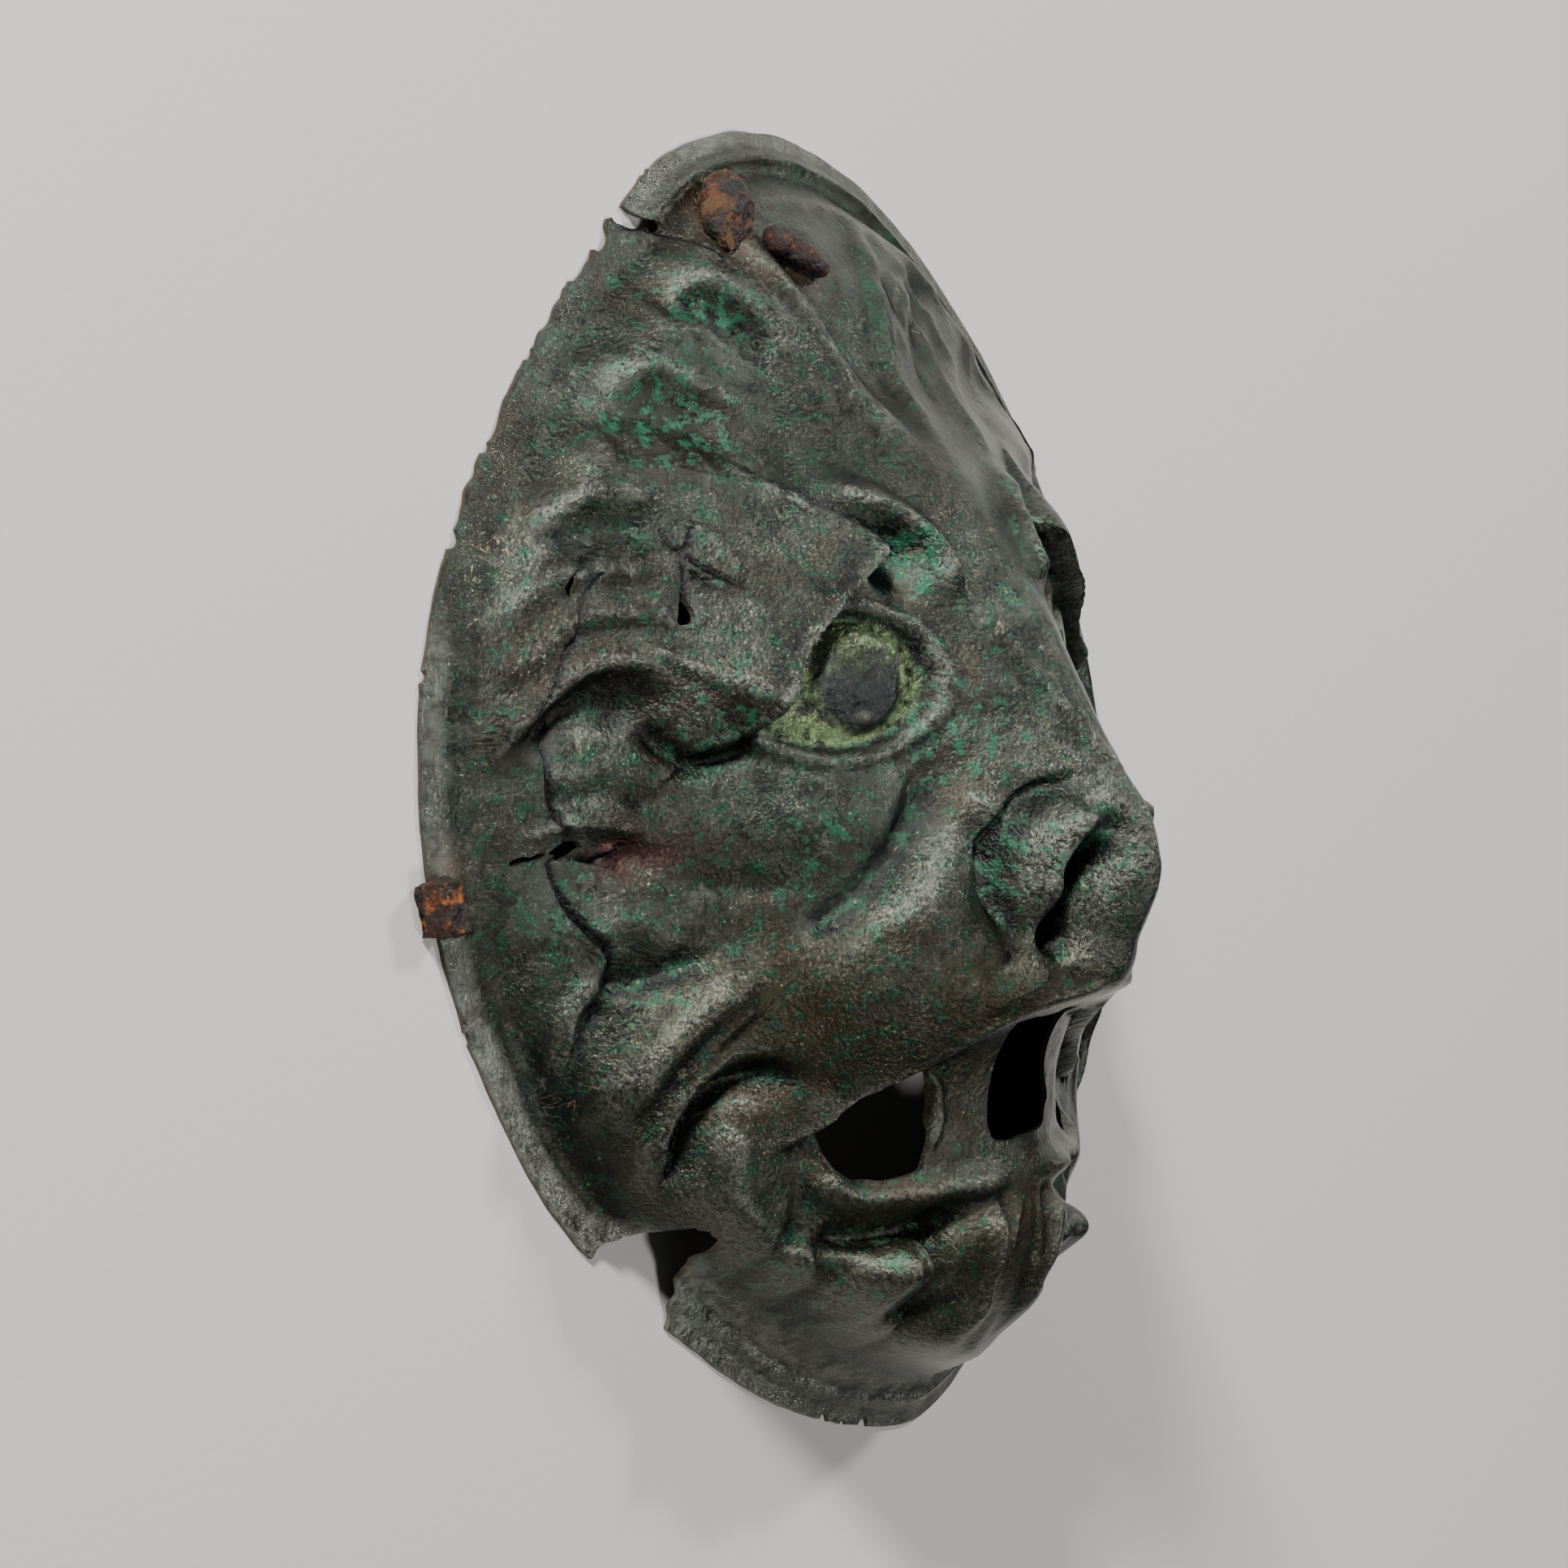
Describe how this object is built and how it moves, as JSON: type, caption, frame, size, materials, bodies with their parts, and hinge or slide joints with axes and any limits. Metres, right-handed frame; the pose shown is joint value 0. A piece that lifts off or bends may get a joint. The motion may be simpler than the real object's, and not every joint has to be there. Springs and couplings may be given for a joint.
{
  "type": "bronze lion mask",
  "caption": "Ancient hammered sheet-bronze lion face with a beaded rim, open mouth and corroded iron nail remains.",
  "frame": {"origin": "middle of the whole part's box, on the plane that the rim lies on", "axes": "+Z points out of the face, +Y from the chin to the forehead, +X to the viewer's right when the forehead is up"},
  "size_m": [0.2322, 0.2584, 0.0841],
  "materials": {
    "bronze": "dark grey-green and brown patina with malachite green, satin",
    "rusty_iron": "rough tan and orange rust crust",
    "dark_iron": "dark brown to black corroded iron",
    "orange_iron": "orange rust over glittering black iron"
  },
  "bodies": {
    "root": {"bronze_mask": "bronze", "iron_nail_lump": "rusty_iron", "iron_nail_bent": "dark_iron", "iron_rim_clench": "orange_iron"}
  },
  "joints": []
}
